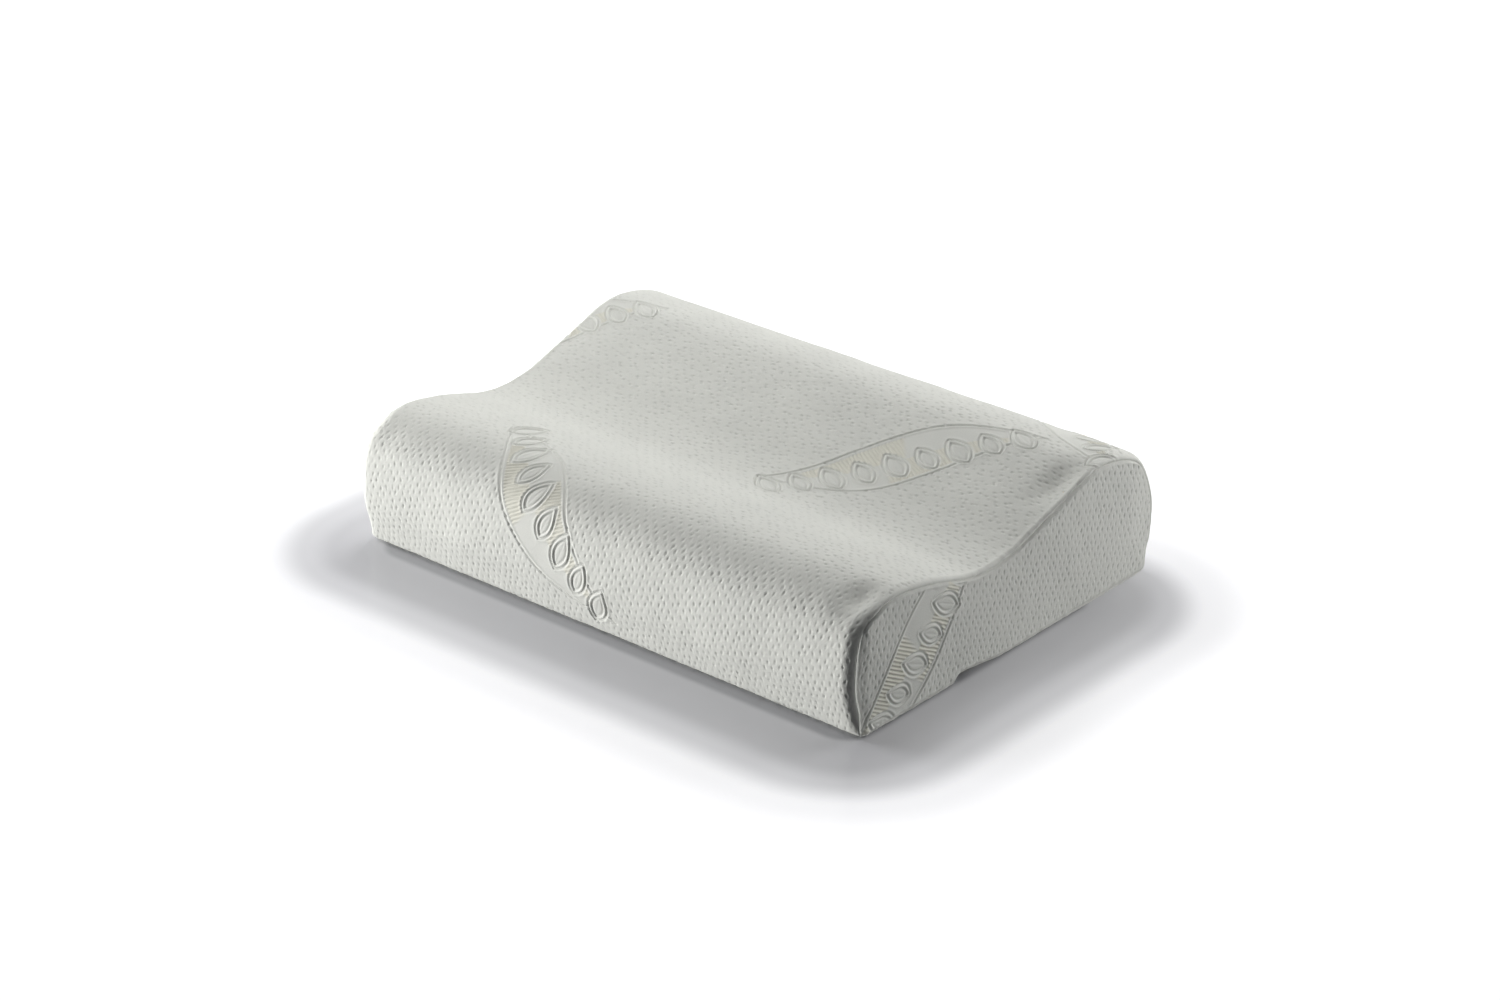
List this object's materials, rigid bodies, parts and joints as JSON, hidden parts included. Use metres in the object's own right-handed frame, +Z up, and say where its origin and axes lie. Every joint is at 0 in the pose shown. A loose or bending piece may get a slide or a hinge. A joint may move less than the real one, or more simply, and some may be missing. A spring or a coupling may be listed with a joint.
{
  "type": "contour bed pillow",
  "caption": "Contour bed pillow: a foam core with a low and a tall crest and a neck valley between, in a thin liner and a zipped quilted knit cover.",
  "frame": {"origin": "centre of the underside's outline, on the surface that the pillow rests on", "axes": "+X along the pillow's length, -Y towards its low front crest, +Y towards its tall back crest and the zip, +Z up"},
  "size_m": [0.6, 0.4498, 0.1417],
  "materials": {
    "foam": "open-cell memory foam, matte",
    "liner": "thin white jersey, matte",
    "cover_knit": "off-white quilted jacquard knit with a soft sheen and pale beige woven leaves",
    "thread": "spun polyester sewing thread",
    "zip_tape": "tight woven polyester tape",
    "zip_nylon": "semi-gloss nylon monofilament",
    "zip_lacquer": "off-white lacquered die-cast zinc",
    "label_satin": "blank white satin ribbon"
  },
  "bodies": {
    "root": {"foam_core": "foam", "liner_tube": "liner", "liner_end_left": "liner", "liner_end_right": "liner", "cover_wrap_panel": "cover_knit", "cover_base_panel": "cover_knit", "cover_end_panel_left": "cover_knit", "cover_end_panel_right": "cover_knit", "seam_thread_left_end": "thread", "seam_thread_right_end": "thread", "seam_thread_front_base": "thread", "seam_thread_back_left": "thread", "seam_thread_back_right": "thread", "zipper_tape_upper": "zip_tape", "zipper_tape_lower": "zip_tape", "zipper_coil_upper": "zip_nylon", "zipper_coil_lower": "zip_nylon", "zipper_topstitch_upper": "thread", "zipper_topstitch_lower": "thread", "zipper_bar_tack_left": "thread", "zipper_bar_tack_right": "thread", "care_label": "label_satin"},
    "slider": {"zipper_slider": "zip_lacquer"},
    "pull_tab": {"zipper_pull_tab": "zip_lacquer"}
  },
  "joints": [
    {"name": "slider_slide", "type": "slide", "parent": "root", "child": "slider", "axis": [-1, 0, 0], "range_m": [0, 0.444]},
    {"name": "pull_tab_swing", "type": "hinge", "parent": "slider", "child": "pull_tab", "pos_m": [0.222, 0.22305, 0.055], "axis": [0, 0, -1], "range_deg": [0, 175]}
  ]
}
